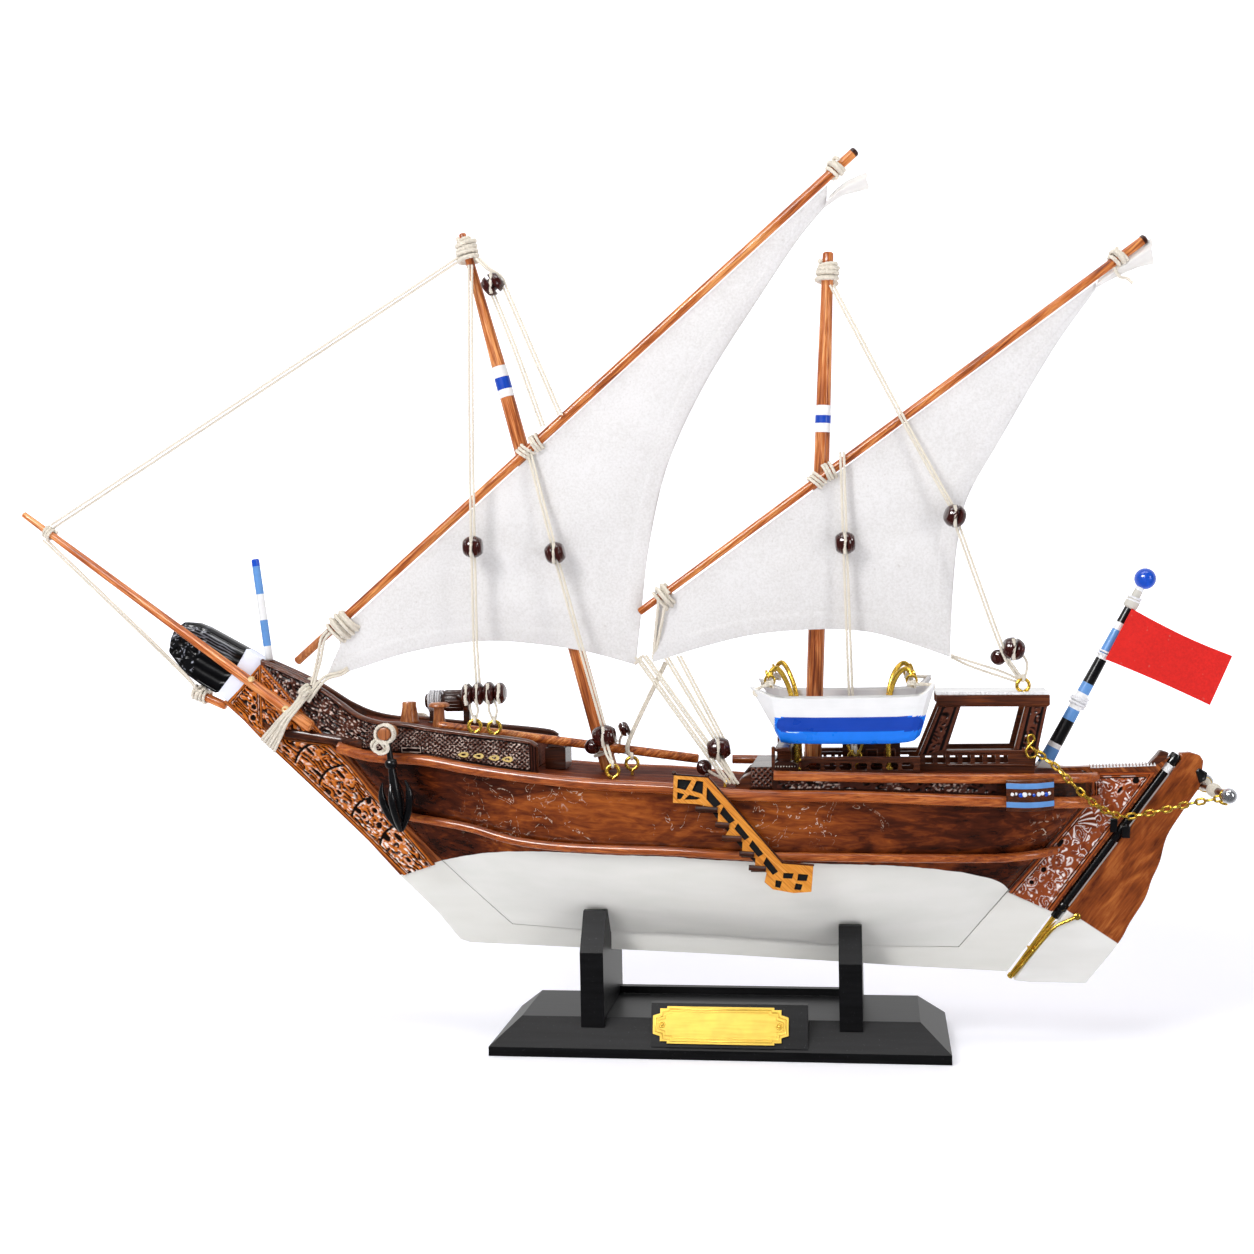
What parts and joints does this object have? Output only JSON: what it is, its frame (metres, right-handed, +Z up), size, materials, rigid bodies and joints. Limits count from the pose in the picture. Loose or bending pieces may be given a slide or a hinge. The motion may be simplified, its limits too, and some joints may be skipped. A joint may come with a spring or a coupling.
{
  "type": "wooden display model of a two-masted lateen sailing boat",
  "caption": "Wooden display model of a lateen-rigged cargo boat on a black stand, with masts, sails, rigging, boats and a turning rudder.",
  "frame": {"origin": "centre of the stand's underside, where the stand meets the shelf", "axes": "+Z up, -X towards the bow, +Y towards starboard; the nameplate faces -Y"},
  "size_m": [0.5691, 0.08, 0.4097],
  "materials": {
    "stand_black": "satin black paint on wood",
    "plate_gold": "brushed gold sheet, blank",
    "hull_wood": "glossy red-brown varnish, white below the waterline",
    "carved_wood": "varnished relief carving, white rubbed in the cuts",
    "rail_wood": "glossy varnish",
    "dark_wood": "dark varnish",
    "spar_wood": "varnished dowel",
    "block_wood": "dark maroon lacquer",
    "black_paint": "gloss black",
    "white_paint": "satin white paint with blue bands",
    "brass": "polished",
    "plywood": "laser-cut, dark edges",
    "sailcloth": "plain canvas weave",
    "flag_cloth": "plain red cloth",
    "rope": "twisted cotton cord"
  },
  "bodies": {
    "boat": {"stand_base": "stand_black", "stand_cradles": "stand_black", "plate_backing": "stand_black", "nameplate": "plate_gold", "hull_body": "hull_wood", "keel_plate": "carved_wood", "stem_head": "black_paint", "rub_rail_port": "rail_wood", "rub_rail_stbd": "rail_wood", "sheer_rail_port": "rail_wood", "sheer_rail_stbd": "rail_wood", "poop_rail_port": "rail_wood", "poop_rail_stbd": "rail_wood", "bow_bulwark_port": "carved_wood", "bow_bulwark_stbd": "carved_wood", "forecastle_deck": "rail_wood", "fore_hatch": "dark_wood", "bollard_tapered": "spar_wood", "bollard_mushroom": "spar_wood", "windlass": "dark_wood", "spare_spar": "spar_wood", "cathead_port": "rail_wood", "cathead_stbd": "rail_wood", "anchor_port": "black_paint", "anchor_stbd": "black_paint", "poop_block": "dark_wood", "poop_step": "dark_wood", "boat_gallows": "dark_wood", "cabin": "dark_wood", "canopy_side_port": "dark_wood", "canopy_side_stbd": "dark_wood", "canopy_roof": "white_paint", "quarter_badge_port": "dark_wood", "quarter_badge_stbd": "dark_wood", "steering_chain_port": "brass", "steering_chain_stbd": "brass", "lifeboat_port": "white_paint", "lifeboat_stbd": "white_paint", "davits_port": "brass", "davits_stbd": "brass", "ladder": "plywood", "main_mast": "spar_wood", "mizzen_mast": "spar_wood", "main_yard": "spar_wood", "mizzen_yard": "spar_wood", "bowsprit": "spar_wood", "bumpkin": "spar_wood", "jackstaff": "white_paint", "flagstaff": "white_paint", "flag": "flag_cloth", "main_sail": "sailcloth", "mizzen_sail": "sailcloth", "rigging_bow": "rope", "rigging_main_fore": "rope", "rigging_main_aft": "rope", "rigging_mizzen_fore": "rope", "rigging_mizzen_aft": "rope"},
    "rudder": {"rudder_blade": "carved_wood", "rudder_stock": "black_paint", "rudder_yoke": "black_paint"}
  },
  "joints": [
    {"name": "rudder_turn", "type": "hinge", "parent": "boat", "child": "rudder", "pos_m": [0.152, 0, 0.0583], "axis": [0.5971, 0, 0.8022], "range_deg": [-35, 35]}
  ]
}
